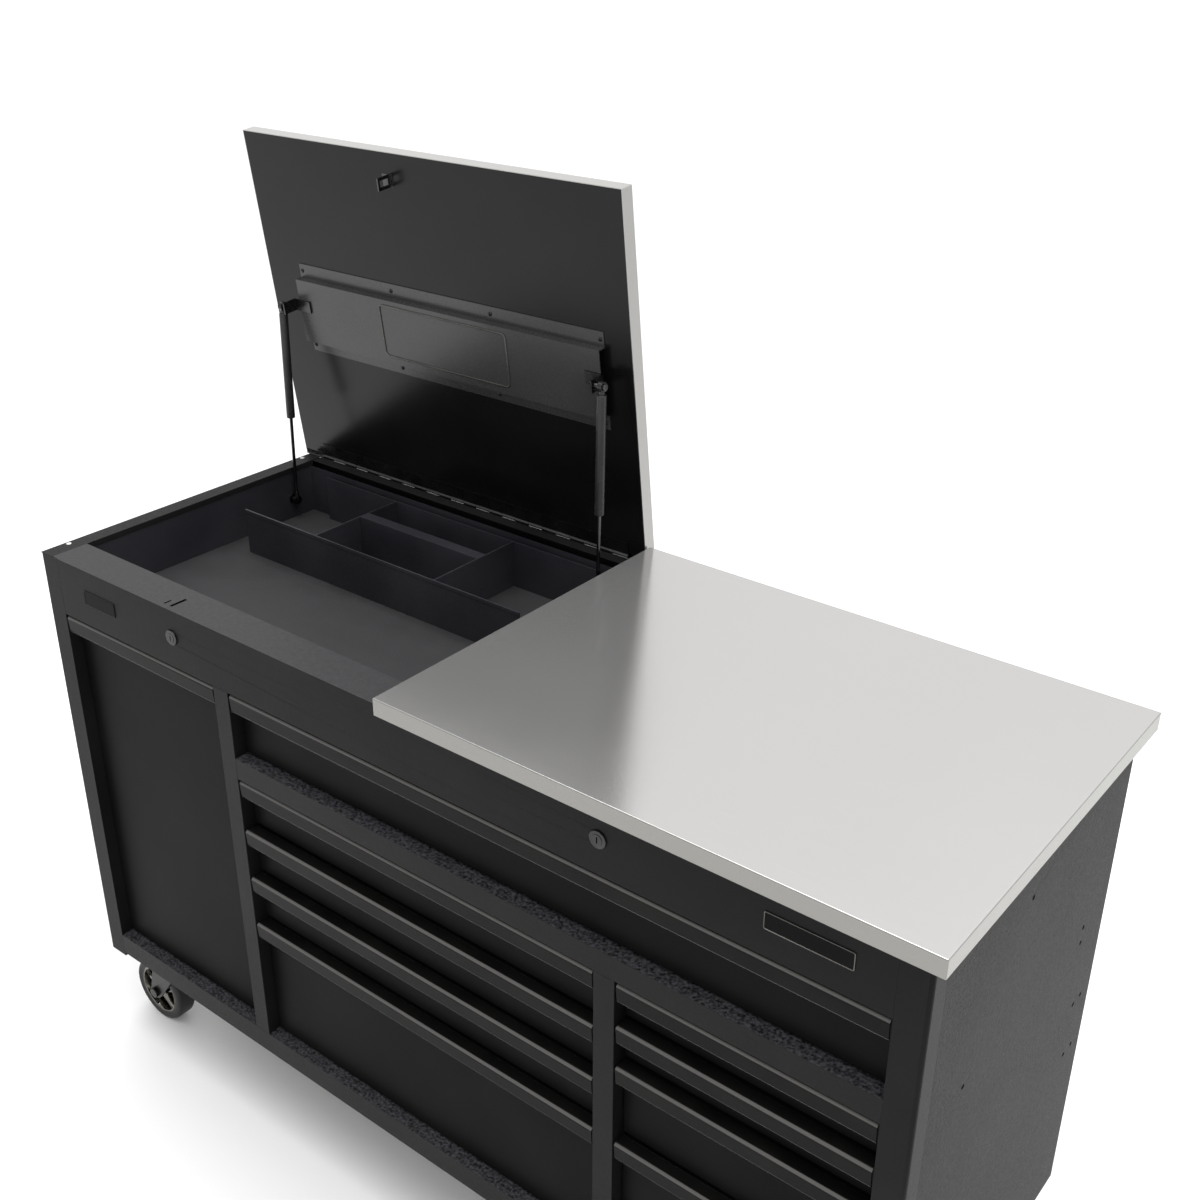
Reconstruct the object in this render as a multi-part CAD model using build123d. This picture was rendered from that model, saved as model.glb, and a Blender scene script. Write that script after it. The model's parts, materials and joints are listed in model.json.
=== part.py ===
"""Rolling tool chest: steel cabinet on four swivel casters, ten drawers, a lidded top
compartment on the left and a stainless worktop on the right.

Millimetres. +Z up, the drawers face -Y. The origin is on the floor, under the middle of
the chest's box with the lid open, which is how the chest stands at rest.

Inside this script y is counted backwards from the worktop's front edge; every piece is
shifted by FRONT_Y when it is written.
"""
from build123d import *
import math
import os

# ---- overall sizes ---------------------------------------------------------------
TOP_Z = 1000.0            # worktop surface above the floor
TOP_T = 25.0              # worktop and lid thickness
TOP_W = 1600.0            # worktop and lid together, left to right
TOP_D = 600.0             # worktop, front to back
BODY_X = 781.0            # half the cabinet's width
BODY_FRONT = 20.0         # cabinet's front plane, behind the worktop's front edge
BODY_BACK = 586.0         # cabinet's back plane
BODY_BOTTOM = 185.0       # underside of the cabinet
BODY_TOP = TOP_Z - TOP_T  # rim that the worktop sits on
SHEET = 1.2               # side, back and drawer sheet
FRAME_T = 1.5             # sheet of the front frame and posts

# ---- front frame: posts, rails and mullions --------------------------------------
FRAME_DEPTH = 28.0        # how far the frame's edges return into the cabinet
POST_W = 42.0
POST_SIDE = 35.0          # the post's leaf along the side of the cabinet
POST_BOTTOM = 178.5
OPEN_L = -BODY_X + POST_W
OPEN_R = BODY_X - 39.5
MULLION_1 = (-369.0, -336.5)   # between the tall drawer and the rest
MULLION_2 = (343.5, 376.5)     # between the middle and the right column
OPEN_TOP = 877.0
OPEN_BOTTOM = 226.0
MID_RAIL = (728.0, 764.0)      # under the wide drawer

# ---- drawers ---------------------------------------------------------------------
PANEL_Y = 40.0            # front face of the drawer fronts, set back from the frame
PANEL_T = 14.0
PANEL_GAP = 3.0           # gap at each end of a drawer front
PULL_GAP = 2.5
TOP_GAP = 4.0             # gap above the first pull of an opening
STACK_GAP = 7.0           # gap between one drawer front and the next pull
SLIDE_T = 13.0            # room for a slide at each side of a drawer
DRAWER_BACK = 552.0
BOX_LIFT = 6.0
MIDDLE_TOPS = (724.0, 635.0, 546.0, 457.0)
RIGHT_TOPS = (724.0, 656.5, 589.0, 457.0)
LAST_BOTTOM = OPEN_BOTTOM + 5.0
SLIDE_Y0 = 60.0
SLIDE_Y1 = 545.0
UPRIGHT_Y = ((70.0, 110.0), (460.0, 500.0))   # slide uprights along each side
SUPPORT_TOP = 870.0

# ---- top compartment -------------------------------------------------------------
FLANGE_Y = 84.5           # inner edge of the front rim
RIM_X = 751.0             # inner edge of the side rims
TUB_R = -30.0             # right wall of the compartment
TUB_BACK = 560.0
TUB_FLOOR = 876.0
MAT_T = 2.5
DIV_FRONT = 358.8
DIV_BACK = 546.0
DIV_TOP = 960.0
DIV_X = (-694.0, -66.0)
CROSS_X = (-516.0, -244.0)
BAY_Y = (460.0, 481.0)
HEM = 6.0                 # doubled strip along the divider's top edges

# ---- lid and its hinge -----------------------------------------------------------
LID_X = (-TOP_W / 2, -6.0)
WORKTOP_X = (-3.4, TOP_W / 2)
LID_UNDER = BODY_TOP + 1.0
HINGE_Y = 593.0
HINGE_Z = BODY_TOP
OPEN_DEG = 82.7           # how far the lid stands open
HINGE_X = (-750.5, -40.0)
KNUCKLES = 24
KNUCKLE_R = 3.5
PIN_R = 1.6
RUN_FIT = 0.05            # radial clearance of every running fit
LEAF_T = 1.1
STIFF_X = (-718.0, -57.0)
STIFF_S = (218.0, 240.0, 352.0, 376.0)  # hat section's edges and webs, from the hinge
STIFF_DEPTH = 15.0
FIELD_X = (-518.0, -240.0)   # the stiffener's plain raised outline
FIELD_S = (252.0, 344.0)
FIELD_T = 1.0
FIELD_LINE = 3.0             # width of the outline's bead
FIELD_R = 9.0                # and the radius round its corners

# ---- gas struts ------------------------------------------------------------------
STRUT_X = (-742.0, -40.0)
STRUT_S = 306.0           # upper pivot's distance from the hinge, along the lid
STRUT_OFF = 33.0          # and its distance below the hinge's plane, lid closed
STUD_Y = 513.0
STUD_Z = 914.7
TUBE_R = 7.5
ROD_R = 3.0
TUBE_FROM = 12.0          # the tube's two ends, measured from the upper pivot
TUBE_TO = 202.0
ROD_LEN = 183.0
EYE_R = 8.0
NECK_R = 4.5                 # necks of the strut's end fittings
FERRULE_LEN = 16.0
STUD_FLANGE_R = 9.0
STUD_FLANGE_T = 1.5
BRACKET_HALF = 10.0          # half the width of a strut bracket
BRACKET_T = 3.0
BRACKET_LAP = 28.0           # its lap on the stiffener's end
BRACKET_GAP = 12.0           # from the strut's centre to its riser
BALL_R = 4.0

# ---- locks -----------------------------------------------------------------------
LOCK_Z = 929.0
LID_LOCK_X = -455.0
DRAWER_LOCK_X = 350.0
BEZEL_R = 12.5
HOUSING_R = 9.5
BARREL_R = 7.5
CAM_Y = (43.0, 45.5)
BEZEL_T = 2.5
SHANK_BACK = 38.0            # back end of a lock's body
NUT_R = 13.0
NUT_BACK = 6.0               # and of its nut, behind the front
KEYWAY = (0.9, 4.5)          # half width and half height
LID_CAM = 36.0               # length of the lid lock's arm
LID_CAM_TIP = 28.0           # where its finger starts
LID_CAM_RISE = 16.0
DRAWER_CAM = 32.0
HOOK_X = -462.0           # middle of the lid's latch blade
HOOK_Y = (34.0, 54.0)
HOOK_DROP = 27.0          # how far the blade reaches below the closed lid
HOOK_FOOT_T = 0.8
SLOT_Y = (30.0, 58.0)     # slot in the front rim for the blade
VENT_X = (-478.5, -475.5)  # small slot beside it
VENT_Y = (30.0, 42.0)

# ---- casters ---------------------------------------------------------------------
WHEEL_R = 63.5
WHEEL_W = 38.0
HUB_R = 48.0
TRAIL = 36.5              # axle behind the swivel's axis
AXLE_R = 6.0
CASTER_X = 700.0
CASTER_Y = (90.0, 516.0)
FORK_TOP = 160.5
PLATE_Z = (161.0, 165.0)
CHANNEL_W = 118.0
BOLT_X = 42.0             # the plate's bolts, either side of the swivel
BOLT_Y = 34.0

# ---- side bolt holes -------------------------------------------------------------
SIDE_HOLE_R = 3.3
BRACKET_HOLES = (539.5, 26.0, 516.5, 90.0)   # y centre, y spacing, z centre, z spacing
HANDLE_HOLES = (326.5, 359.0, 708.0)         # y centre, y spacing, z
CABLE_HOLES = ((506.0, 682.0), (283.5, 893.0))

REAR_EXTENT = (HINGE_Y + (TOP_D - HINGE_Y) * math.cos(math.radians(OPEN_DEG))
               + TOP_T * math.sin(math.radians(OPEN_DEG)))
FRONT_Y = -REAR_EXTENT / 2

LID_AXIS = Axis((0, HINGE_Y, HINGE_Z), (1, 0, 0))


def slab(x, y, z):
    """A box from three (low, high) pairs."""
    size = (x[1] - x[0], y[1] - y[0], z[1] - z[0])
    middle = ((x[0] + x[1]) / 2, (y[0] + y[1]) / 2, (z[0] + z[1]) / 2)
    return Pos(*middle) * Box(*size)


def rod_x(x, y, z, r):
    """A cylinder along X between the two values in x."""
    return Pos((x[0] + x[1]) / 2, y, z) * Rot(0, 90, 0) * Cylinder(r, x[1] - x[0])


def rod_y(x, y, z, r):
    """A cylinder along Y between the two values in y."""
    return Pos(x, (y[0] + y[1]) / 2, z) * Rot(90, 0, 0) * Cylinder(r, y[1] - y[0])


def rod_z(x, y, z, r):
    """A cylinder along Z between the two values in z."""
    return Pos(x, y, (z[0] + z[1]) / 2) * Cylinder(r, z[1] - z[0])


def grow(pair, by):
    """A (low, high) pair moved outwards at both ends."""
    return (pair[0] - by, pair[1] + by)


def mirrored(shape):
    """The same shape on the other side of the cabinet."""
    return mirror(shape, about=Plane.YZ)


def opened(shape):
    """A piece of the lid, drawn closed, turned to where it stands open."""
    return shape.rotate(LID_AXIS, -OPEN_DEG)


def save(name, *solids):
    """Write one node, as one solid or as a group of separate solids."""
    moved = [Pos(0, FRONT_Y, 0) * solid for solid in solids]
    shape = moved[0] if len(moved) == 1 else Compound(children=moved)
    export_step(shape, f"parts/{name}.step")


# ---- cabinet ---------------------------------------------------------------------
def side_panel():
    """Left side sheet with its top rim and bottom return."""
    skin = slab((-BODY_X, -BODY_X + SHEET), (BODY_FRONT + POST_SIDE, BODY_BACK - SHEET),
                (BODY_BOTTOM, BODY_TOP))
    rim = slab((-BODY_X, -RIM_X), (BODY_FRONT, BODY_BACK), (BODY_TOP - SHEET, BODY_TOP))
    lip = slab((-RIM_X - SHEET, -RIM_X), (FLANGE_Y, BODY_BACK - 20), (BODY_TOP - 10, BODY_TOP))
    foot = slab((-BODY_X, -BODY_X + 20), (BODY_FRONT + POST_SIDE, BODY_BACK - SHEET),
                (BODY_BOTTOM, BODY_BOTTOM + SHEET))
    return skin + rim + lip + foot


def side_hole(y, z):
    """One accessory hole through the right side sheet."""
    return rod_x((BODY_X - 5, BODY_X + 5), y, z, SIDE_HOLE_R)


def right_side_panel():
    """Right side sheet, with the holes for a bracket, a handle and cable ties."""
    panel = mirrored(side_panel())
    y, dy, z, dz = BRACKET_HOLES
    for sy in (-0.5, 0.5):
        for sz in (-0.5, 0.5):
            panel -= side_hole(y + sy * dy, z + sz * dz)
    y, dy, z = HANDLE_HOLES
    for sy in (-0.5, 0.5):
        panel -= side_hole(y + sy * dy, z)
    for y, z in CABLE_HOLES:
        panel -= side_hole(y, z)
    return panel


def back_panel():
    """Back sheet, with a flange a little below the rim to leave room for the hinge leaf."""
    skin = slab((-BODY_X, BODY_X), (BODY_BACK - SHEET, BODY_BACK),
                (BODY_BOTTOM, BODY_TOP - SHEET))
    skin -= slab((-BODY_X, -RIM_X), (BODY_BACK - 5, BODY_BACK + 5), (BODY_TOP - 3, BODY_TOP))
    skin -= slab((RIM_X, BODY_X), (BODY_BACK - 5, BODY_BACK + 5), (BODY_TOP - 3, BODY_TOP))
    flange = slab((-RIM_X, RIM_X), (BODY_BACK - 20, BODY_BACK),
                  (BODY_TOP - 1 - SHEET, BODY_TOP - 1))
    return skin + flange


def base_pan():
    """Floor of the cabinet."""
    edge = BODY_X - FRAME_T
    return slab((-edge, edge), (BODY_FRONT + FRAME_DEPTH, BODY_BACK - SHEET),
                (BODY_BOTTOM + SHEET, BODY_BOTTOM + 2 * SHEET))


def caster_channel():
    """Channel under the left end of the floor that carries two casters."""
    x = (-CASTER_X - CHANNEL_W / 2, -CASTER_X + CHANNEL_W / 2)
    y = (BODY_FRONT + FRAME_DEPTH, BODY_BACK - 10)
    z = (PLATE_Z[1], BODY_BOTTOM + SHEET)
    wall = 2.5
    block = slab(x, y, z)
    hollow = slab(grow(x, -wall), grow(y, 1), (z[0] + wall, z[1] + 1))
    return block - hollow


def corner_post():
    """Left corner post: side leaf, front leaf with a rounded corner, and inner return."""
    x = (-BODY_X, OPEN_L)
    z = (POST_BOTTOM, BODY_TOP - SHEET)
    block = slab(x, (BODY_FRONT, BODY_FRONT + POST_SIDE), z)
    outer_edge = block.edges().filter_by(Axis.Z).sort_by(lambda e: e.center().X + e.center().Y)[0]
    block = fillet(outer_edge, 5)
    inner = slab(grow(x, -FRAME_T), (BODY_FRONT + FRAME_T, BODY_BACK), grow(z, 1))
    post = block - inner
    trim = slab((OPEN_L - 5, OPEN_L + 5), (BODY_FRONT + FRAME_DEPTH, BODY_BACK), grow(z, 1))
    return post - trim


def right_post():
    """Right corner post, the mirrored left one with a slightly narrower front leaf."""
    post = mirrored(corner_post())
    shift = OPEN_R - (BODY_X - POST_W)
    narrow = post & slab((OPEN_R + 5, BODY_X + 1), (0, BODY_BACK), (0, TOP_Z))
    inner = post & slab((0, OPEN_R - 1), (0, BODY_BACK), (0, TOP_Z))
    middle = slab((OPEN_R, OPEN_R + 6), (BODY_FRONT, BODY_FRONT + FRAME_T),
                  (POST_BOTTOM, BODY_TOP - SHEET))
    return narrow + middle + Pos(shift, 0, 0) * inner


def channel_bar(x, z, upright=False):
    """A frame member: front face with two returns that face the drawer openings."""
    y = (BODY_FRONT, BODY_FRONT + FRAME_DEPTH)
    block = slab(x, y, z)
    if upright:
        return block - slab(grow(x, -FRAME_T), (y[0] + FRAME_T, y[1] + 1), grow(z, 1))
    return block - slab(grow(x, 1), (y[0] + FRAME_T, y[1] + 1), grow(z, -FRAME_T))


def upper_front_panel():
    """Panel above the drawers, folded back at the top into the front rim."""
    panel = slab((OPEN_L, OPEN_R), (BODY_FRONT, BODY_FRONT + FRAME_T), (OPEN_TOP, BODY_TOP))
    panel += slab((OPEN_L, OPEN_R), (BODY_FRONT, BODY_FRONT + FRAME_DEPTH),
                  (OPEN_TOP, OPEN_TOP + FRAME_T))
    panel += slab((-RIM_X, RIM_X), (BODY_FRONT + FRAME_T, FLANGE_Y), (BODY_TOP - SHEET, BODY_TOP))
    panel += slab((OPEN_L, OPEN_R), (BODY_FRONT, BODY_FRONT + 2 * FRAME_T),
                  (BODY_TOP - SHEET, BODY_TOP))
    panel += slab((-RIM_X, RIM_X), (FLANGE_Y - SHEET, FLANGE_Y), (BODY_TOP - 10, BODY_TOP))
    for x in (LID_LOCK_X, DRAWER_LOCK_X):
        panel -= rod_y(x, (0, BODY_FRONT + 10), LOCK_Z, HOUSING_R)
    panel -= slab((HOOK_X - 2.5, HOOK_X + 2.5), SLOT_Y, grow((BODY_TOP, BODY_TOP), 5))
    panel -= slab(VENT_X, VENT_Y, grow((BODY_TOP, BODY_TOP), 5))
    return panel


def partition(x, top):
    """Box-section wall behind a mullion, which carries slides on both sides."""
    y = (BODY_FRONT + FRAME_DEPTH + 1, BODY_BACK - SHEET - 1)
    z = (BODY_BOTTOM + 2 * SHEET, top)
    return slab(x, y, z) - slab(grow(x, -SHEET), grow(y, -SHEET), grow(z, 1))


def upright(x, y, top):
    """Slide upright, a channel between a side sheet and the drawers."""
    z = (BODY_BOTTOM + 2 * SHEET, top)
    return slab(x, y, z) - slab(grow(x, -SHEET), (y[0] + SHEET, y[1] + 1), grow(z, 1))


def slide_supports():
    """Both partitions and the four uprights at the cabinet's sides."""
    supports = [partition(MULLION_1, SUPPORT_TOP), partition(MULLION_2, MID_RAIL[0] + 17)]
    for y in UPRIGHT_Y:
        supports.append(upright((-BODY_X + SHEET, OPEN_L), y, SUPPORT_TOP))
        supports.append(upright((OPEN_R, BODY_X - SHEET), y, SUPPORT_TOP))
    return supports


# ---- top compartment -------------------------------------------------------------
def compartment_tub():
    """Sheet tub under the lid, with a rim on its right that runs under the worktop."""
    x = (-RIM_X - 2 * SHEET, TUB_R + SHEET)
    y = (FLANGE_Y + 0.3, TUB_BACK + SHEET)
    z = (TUB_FLOOR - SHEET, BODY_TOP - 10.2)
    tub = slab(x, y, z)
    tub -= slab(grow(x, -SHEET), grow(y, -SHEET), (TUB_FLOOR, BODY_TOP))
    rise = slab((TUB_R, TUB_R + SHEET), y, (z[1] - 1, BODY_TOP))
    rim = slab((TUB_R, 15), (FLANGE_Y + 0.3, BODY_BACK - 21), (BODY_TOP - SHEET, BODY_TOP))
    return tub + rise + rim


def compartment_mat():
    """Loose rubber mat on the compartment's floor."""
    return slab((-RIM_X - 0.5, TUB_R - 1), (FLANGE_Y + 2.5, TUB_BACK - 1),
                (TUB_FLOOR, TUB_FLOOR + MAT_T))


def divider_wall(x, y, hem):
    """One wall of the divider; hem is the stretch that its folded top edge covers."""
    return slab(x, y, (TUB_FLOOR + MAT_T, DIV_TOP)) + slab(x, hem, (DIV_TOP - HEM, DIV_TOP))


def compartment_divider():
    """Two long walls, two cross walls between them, and a capped wall in the middle bay."""
    front = divider_wall(DIV_X, (DIV_FRONT, DIV_FRONT + SHEET), (DIV_FRONT - SHEET, DIV_FRONT + SHEET))
    back = divider_wall(DIV_X, (DIV_BACK, DIV_BACK + SHEET), (DIV_BACK, DIV_BACK + 2 * SHEET))
    between = (DIV_FRONT + SHEET, DIV_BACK)
    crosses = [slab((x - SHEET / 2, x + SHEET / 2), between, (TUB_FLOOR + MAT_T, DIV_TOP))
               + slab((x - SHEET, x + SHEET), between, (DIV_TOP - HEM, DIV_TOP))
               for x in CROSS_X]
    bay = (CROSS_X[0] + SHEET, CROSS_X[1] - SHEET)
    capped = slab(bay, (BAY_Y[0], BAY_Y[0] + SHEET), (TUB_FLOOR + MAT_T, DIV_TOP))
    capped += slab(bay, BAY_Y, (DIV_TOP - SHEET, DIV_TOP))
    capped += slab(bay, (BAY_Y[1] - SHEET, BAY_Y[1]), (DIV_TOP - 15, DIV_TOP))
    return [front, back, *crosses, capped]


# ---- worktop and lid -------------------------------------------------------------
def top_skin(x, under):
    """Stainless pan with a deep band all round, open underneath."""
    outer = slab(x, (0, TOP_D), (under, TOP_Z))
    edges = outer.edges().filter_by(Axis.Z) + outer.faces().sort_by(Axis.Z)[-1].edges()
    outer = fillet(edges, 1.5)
    return outer - slab(grow(x, -SHEET), (SHEET, TOP_D - SHEET), (under - 1, TOP_Z - SHEET))


def worktop_core():
    """Board that fills the worktop's skin."""
    return slab(grow(WORKTOP_X, -SHEET), (SHEET, TOP_D - SHEET), (BODY_TOP, TOP_Z - SHEET))


def lid_inner_panel():
    """Painted sheet that closes the lid's underside, stopping short of the hinge."""
    return slab(grow(LID_X, -SHEET), (SHEET, HINGE_Y - 4.5), (LID_UNDER, LID_UNDER + SHEET))


def lid_stiffener():
    """Hat-section stiffener across the lid's underside, with a plain raised outline."""
    s0, s1, s2, s3 = STIFF_S
    low = LID_UNDER - STIFF_DEPTH
    x = STIFF_X
    flange = (LID_UNDER - FRAME_T, LID_UNDER)
    hat = slab(x, (HINGE_Y - s1, HINGE_Y - s0), flange)
    hat += slab(x, (HINGE_Y - s3, HINGE_Y - s2), flange)
    hat += slab(x, (HINGE_Y - s2, HINGE_Y - s1), (low, low + FRAME_T))
    for s in (s1, s2 - FRAME_T):
        hat += slab(x, (HINGE_Y - s - FRAME_T, HINGE_Y - s), (low, LID_UNDER))
    field_y = (HINGE_Y - FIELD_S[1], HINGE_Y - FIELD_S[0])
    bead_z = (low - FIELD_T, low)
    outer = slab(FIELD_X, field_y, bead_z)
    inner = slab(grow(FIELD_X, -FIELD_LINE), grow(field_y, -FIELD_LINE), bead_z)
    bead = fillet(outer.edges().filter_by(Axis.Z), FIELD_R)
    bead -= fillet(inner.edges().filter_by(Axis.Z), FIELD_R - FIELD_LINE)
    return hat + bead


def lid_hook():
    """Latch blade on the lid, with a window for the lock's finger."""
    foot = slab((HOOK_X - 16, HOOK_X + 6), HOOK_Y, (LID_UNDER - HOOK_FOOT_T, LID_UNDER))
    blade = slab((HOOK_X - 1.5, HOOK_X + 1.5), HOOK_Y, (LID_UNDER - HOOK_DROP, LID_UNDER))
    window = slab((HOOK_X - 3, HOOK_X + 3), grow(HOOK_Y, -4.5),
                  (LID_UNDER - HOOK_DROP + 4, LID_UNDER - 6))
    return foot + blade - window


def knuckle_spans(first):
    """The stretches of the hinge that belong to one leaf, every second one."""
    pitch = (HINGE_X[1] - HINGE_X[0]) / KNUCKLES
    starts = [HINGE_X[0] + pitch * n for n in range(first, KNUCKLES, 2)]
    return [(x + 0.25, x + pitch - 0.25) for x in starts]


def knuckle(x):
    """One rolled knuckle, without its bore."""
    return rod_x(x, HINGE_Y, HINGE_Z, KNUCKLE_R)


def hinge_bore():
    """The bore through every knuckle."""
    return rod_x(grow(HINGE_X, 1), HINGE_Y, HINGE_Z, PIN_R + RUN_FIT)


def hinge_fixed_leaf():
    """Leaf on the cabinet's back, stepped out to its knuckles."""
    step_z = (HINGE_Z - KNUCKLE_R, HINGE_Z - KNUCKLE_R + LEAF_T)
    leaf = slab(HINGE_X, (BODY_BACK, BODY_BACK + LEAF_T), (HINGE_Z - 35, step_z[1]))
    leaf += slab(HINGE_X, (BODY_BACK, HINGE_Y - 4), step_z)
    for span in knuckle_spans(0):
        leaf += slab(span, (BODY_BACK, HINGE_Y), step_z)
        leaf += knuckle(span)
    return leaf - hinge_bore()


def hinge_moving_leaf():
    """Leaf screwed to the lid's underside."""
    flat = (LID_UNDER - LEAF_T, LID_UNDER)
    leaf = slab(HINGE_X, (HINGE_Y - 25, HINGE_Y - 4), flat)
    for span in knuckle_spans(1):
        leaf += slab(span, (HINGE_Y - 25, HINGE_Y - 2), flat)
        leaf += knuckle(span)
    return leaf - hinge_bore()


# ---- gas struts ------------------------------------------------------------------
def strut_side(x):
    """-1 for the left strut and +1 for the right one."""
    return -1 if x == STRUT_X[0] else 1


def strut_bracket(x):
    """Bracket from the stiffener's end to the upper pivot, with its stud."""
    side = strut_side(x)
    edge = STIFF_X[0] if side < 0 else STIFF_X[1]
    face = LID_UNDER - STIFF_DEPTH
    y = HINGE_Y - STRUT_S
    z = HINGE_Z - STRUT_OFF
    inner = x - side * BRACKET_GAP
    width = (y - BRACKET_HALF, y + BRACKET_HALF)
    base = slab(sorted((edge - side * BRACKET_LAP, inner)), width, (face - BRACKET_T, face))
    riser = slab(sorted((inner, inner - side * BRACKET_T)), width, (z - 9, face))
    stud = rod_x(sorted((x + side * 5, x - side * 13)), y, z, BALL_R)
    cap = rod_x(sorted((x + side * 5.3, x + side * 7)), y, z, BALL_R + 1.5)
    return base + riser + stud + cap + rod_x(sorted((x + side * 4, x + side * 6)), y, z, BALL_R)


def upper_pivot():
    """(y, z) of the upper pivot with the lid open."""
    turn = math.radians(OPEN_DEG)
    y = HINGE_Y - STRUT_S * math.cos(turn) - STRUT_OFF * math.sin(turn)
    z = HINGE_Z + STRUT_S * math.sin(turn) - STRUT_OFF * math.cos(turn)
    return y, z


def strut_placed(shape, x):
    """Moves a strut piece, drawn hanging straight down from the origin, to its pivot."""
    y, z = upper_pivot()
    lean = math.degrees(math.atan2(STUD_Y - y, z - STUD_Z))
    return Pos(x, y, z) * Rot(lean, 0, 0) * shape


def strut_tube():
    """Gas strut cylinder with its upper eye."""
    eye = rod_x((-4, 4), 0, 0, EYE_R)
    neck = rod_z(0, 0, (-TUBE_FROM - 2, 0), NECK_R)
    tube = rod_z(0, 0, (-TUBE_TO, -TUBE_FROM), TUBE_R)
    tube = fillet(tube.edges().filter_by(GeomType.CIRCLE), 1.5)
    body = eye + neck + tube
    body -= rod_z(0, 0, (-TUBE_TO - 1, -TUBE_FROM - 28), ROD_R + RUN_FIT)
    return body - rod_x((-5, 5), 0, 0, BALL_R + RUN_FIT)


def strut_length():
    """Distance between the strut's pivots with the lid open."""
    y, z = upper_pivot()
    return math.hypot(y - STUD_Y, z - STUD_Z)


def strut_rod():
    """Piston rod with its lower end fitting."""
    low = -strut_length()
    rod = rod_z(0, 0, (low, low + ROD_LEN), ROD_R)
    fitting = rod_x((-4, 4), 0, low, EYE_R)
    ferrule = rod_z(0, 0, (low, low + FERRULE_LEN), NECK_R)
    return rod + fitting + ferrule


def strut_stud(x):
    """Lower stud on the tub's wall, ending just short of the rod's fitting."""
    side = strut_side(x)
    wall = -RIM_X - SHEET if side < 0 else TUB_R
    flange = rod_x(sorted((wall, wall - side * STUD_FLANGE_T)), STUD_Y, STUD_Z, STUD_FLANGE_R)
    return flange + rod_x(sorted((wall, x + side * 4.6)), STUD_Y, STUD_Z, BALL_R)


# ---- locks -----------------------------------------------------------------------
def lock_housing(x):
    """Fixed lock body with its bezel, nut and bore."""
    bezel = rod_y(x, (BODY_FRONT - BEZEL_T, BODY_FRONT), LOCK_Z, BEZEL_R)
    bezel = fillet(bezel.edges().sort_by(Axis.Y)[0], 1.2)
    shank = rod_y(x, (BODY_FRONT, SHANK_BACK), LOCK_Z, HOUSING_R)
    nut = rod_y(x, (BODY_FRONT + FRAME_T, BODY_FRONT + NUT_BACK), LOCK_Z, NUT_R)
    return bezel + shank + nut - rod_y(x, (0, 60), LOCK_Z, BARREL_R + RUN_FIT)


def lock_barrel(x):
    """Turning part of a lock with its keyway and a neck that holds the cam."""
    barrel = rod_y(x, (BODY_FRONT - 3, CAM_Y[0] - 2), LOCK_Z, BARREL_R)
    neck = rod_y(x, (CAM_Y[0] - 3, CAM_Y[1] + 2), LOCK_Z, 4.5)
    half_w, half_h = KEYWAY
    keyway = slab((x - half_w, x + half_w), (0, BODY_FRONT + 9), (LOCK_Z - half_h, LOCK_Z + half_h))
    return barrel + neck - keyway


def lid_lock_barrel():
    """Lid lock: its hooked cam points right when open and turns up into the blade."""
    x = LID_LOCK_X
    arm = slab((x, x + LID_CAM), CAM_Y, (LOCK_Z - 4, LOCK_Z + 4))
    finger = slab((x + LID_CAM_TIP, x + LID_CAM), CAM_Y, (LOCK_Z, LOCK_Z + LID_CAM_RISE))
    return lock_barrel(x) + arm + finger


def drawer_lock_barrel():
    """Drawer lock: a straight cam that turns down to hold the drawers."""
    x = DRAWER_LOCK_X
    arm = slab((x, x + DRAWER_CAM), CAM_Y, (LOCK_Z - 6, LOCK_Z + 6))
    return lock_barrel(x) + arm


# ---- drawers ---------------------------------------------------------------------
def drawer_table():
    """Every drawer: name, opening's x range, top of its pull and foot of its front."""
    rows = [("tall_drawer", (OPEN_L, MULLION_1[0]), OPEN_TOP - TOP_GAP, LAST_BOTTOM),
            ("wide_drawer", (MULLION_1[1], OPEN_R), OPEN_TOP - TOP_GAP, MID_RAIL[1] + 5)]
    columns = (("middle", (MULLION_1[1], MULLION_2[0]), MIDDLE_TOPS),
               ("right", (MULLION_2[1], OPEN_R), RIGHT_TOPS))
    for side, x, tops in columns:
        bottoms = [top + STACK_GAP for top in tops[1:]] + [LAST_BOTTOM]
        for number, (top, bottom) in enumerate(zip(tops, bottoms), start=1):
            rows.append((f"{side}_drawer_{number}", x, top, bottom))
    return rows


def box_height(top, bottom):
    """Height of a drawer's sides: a little under its front, or half of a tall front."""
    front = top - bottom
    return front / 2 if front > 300 else front - 22


def slide_height(top, bottom):
    """Height of a drawer's slides."""
    return min(45.0, box_height(top, bottom) - 6)


def slide_middle(top, bottom):
    """Height of the slides' centre line above the floor."""
    return bottom + BOX_LIFT + min(box_height(top, bottom) / 2, 60)


def runner(wall_x, side, height, middle):
    """Slide member on the drawer: a channel that rides inside the fixed member."""
    x = sorted((wall_x, wall_x + side * (SLIDE_T - SHEET - 0.8)))
    z = (middle - height / 2, middle + height / 2)
    y = (SLIDE_Y0, SLIDE_Y1)
    bar = slab(x, y, grow(z, -SHEET - 1.5))
    inner = sorted((wall_x + side * SHEET, wall_x + side * SLIDE_T))
    return bar - slab(inner, grow(y, 1), grow(z, -2 * SHEET - 1.5))


def slide_outer(wall_x, side, height, middle):
    """Fixed slide member: a channel with its lips around the runner."""
    x = sorted((wall_x, wall_x - side * 8))
    z = (middle - height / 2, middle + height / 2)
    y = (SLIDE_Y0, SLIDE_Y1)
    inner = sorted((wall_x - side * SHEET, wall_x - side * 9))
    return slab(x, y, z) - slab(inner, grow(y, 1), grow(z, -SHEET))


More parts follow.
